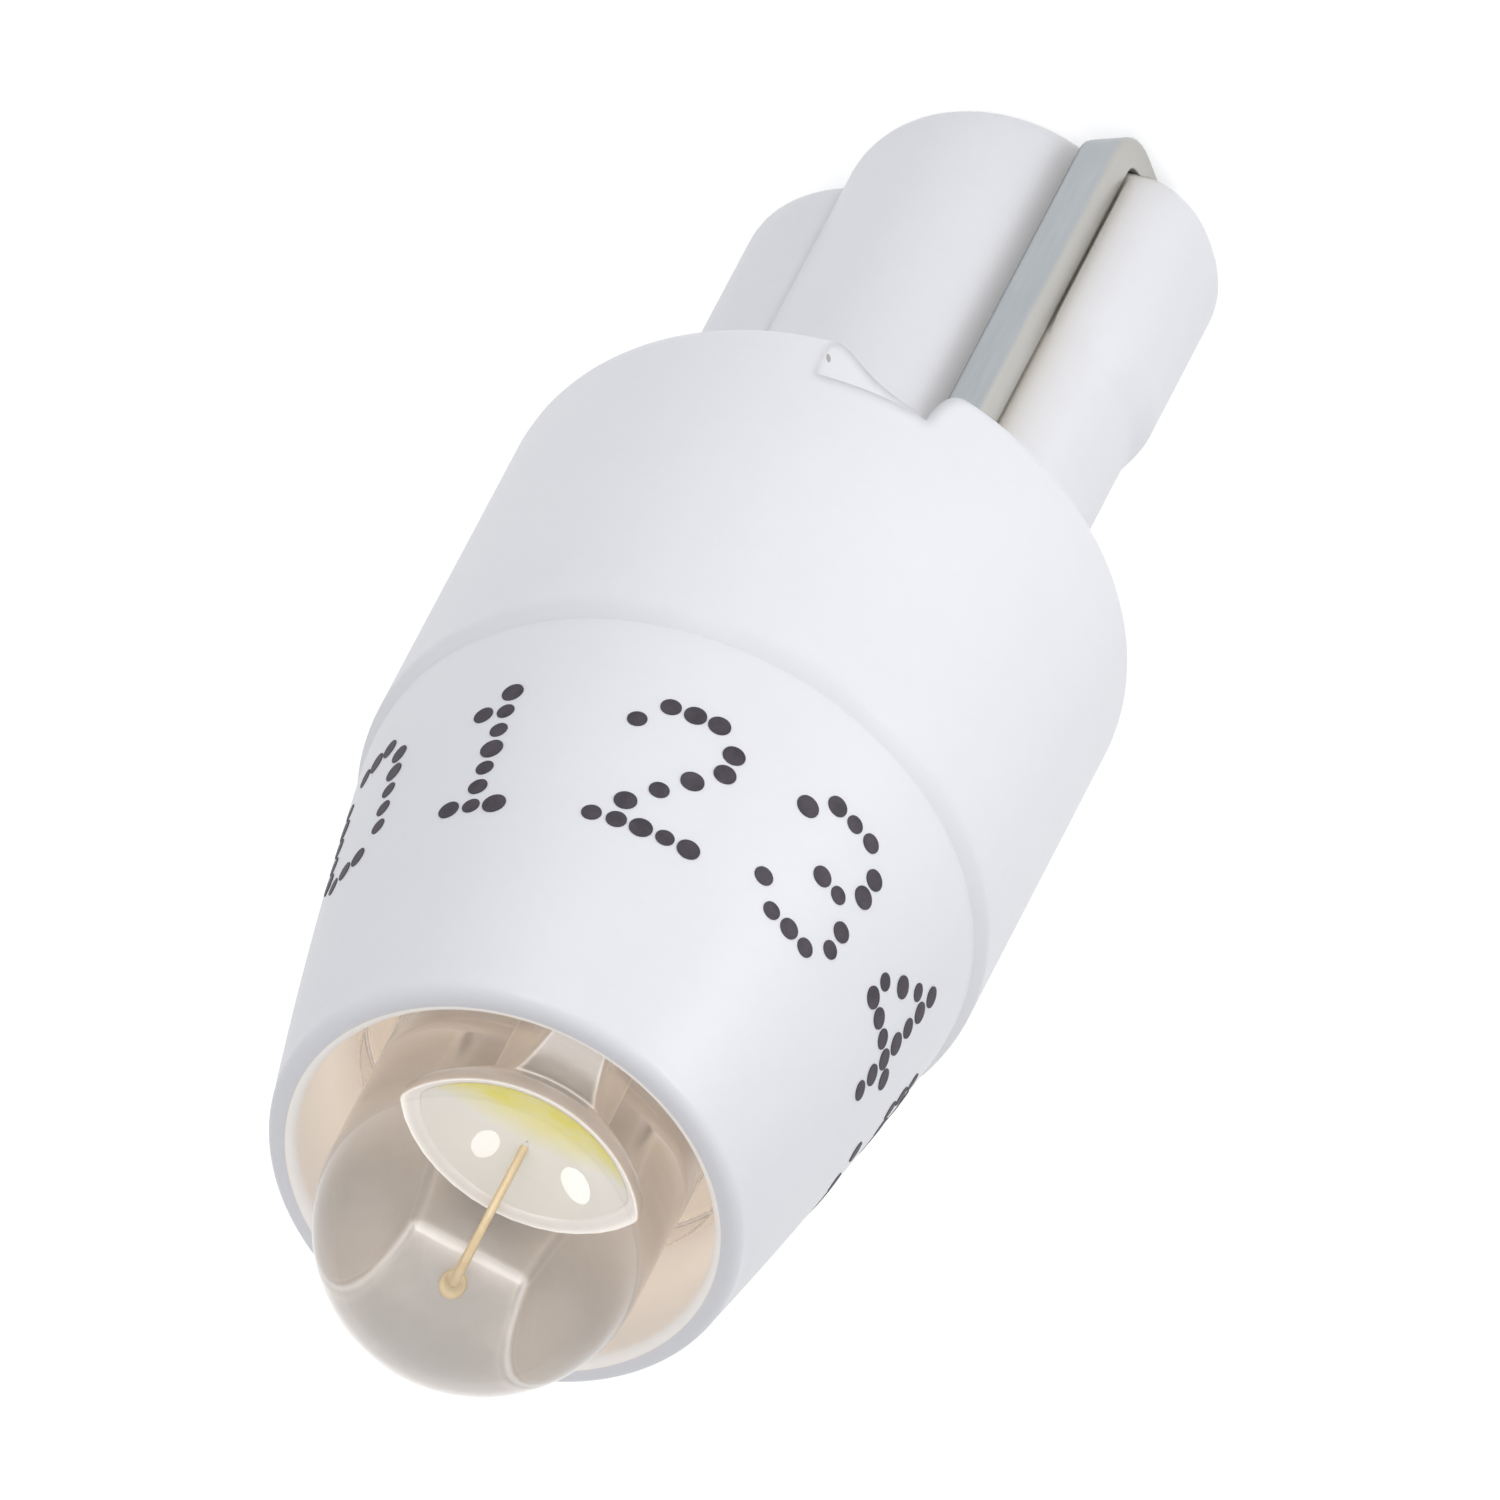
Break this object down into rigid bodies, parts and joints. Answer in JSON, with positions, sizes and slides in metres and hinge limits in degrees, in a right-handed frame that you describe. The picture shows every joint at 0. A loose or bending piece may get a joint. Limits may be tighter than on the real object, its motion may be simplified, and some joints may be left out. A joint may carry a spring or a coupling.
{
  "type": "wedge base led bulb",
  "caption": "Small lamp with a flat white plastic wedge base, a tapered white nose and a round clear light emitting diode in its open mouth.",
  "frame": {"origin": "centre of the base end's flat face", "axes": "+Z along the lamp's axis from the base end to the diode's dome, +X along the wings, +Y square to the wing face that carries the right strip"},
  "size_m": [0.006, 0.006, 0.0165],
  "materials": {
    "white_plastic": "satin",
    "tinned_strip": "satin",
    "clear_resin": "gloss",
    "leadframe": "satin",
    "phosphor": "matte",
    "gold_wire": "gloss",
    "chip": "gloss",
    "board": "satin",
    "copper": "satin",
    "resistor_body": "matte",
    "tinned_end": "satin",
    "diode_body": "matte",
    "solder": "gloss"
  },
  "bodies": {
    "root": {"base_housing": "white_plastic", "nose_cap": "white_plastic", "contact_strip_right": "tinned_strip", "contact_strip_left": "tinned_strip", "led_lens": "clear_resin", "led_cathode_frame": "leadframe", "led_anode_frame": "leadframe", "led_phosphor": "phosphor", "led_bond_wire": "gold_wire", "led_chip": "chip", "driver_board": "board", "board_tracks_front": "copper", "board_tracks_back": "copper", "board_lead_pads": "copper", "resistor_1": "resistor_body", "resistor_1_left_end": "tinned_end", "resistor_1_right_end": "tinned_end", "resistor_2": "resistor_body", "resistor_2_left_end": "tinned_end", "resistor_2_right_end": "tinned_end", "series_diode": "diode_body", "series_diode_left_lead": "tinned_end", "series_diode_right_lead": "tinned_end", "solder_right_strip": "solder", "solder_left_strip": "solder", "solder_anode": "solder", "solder_cathode": "solder"}
  },
  "joints": []
}
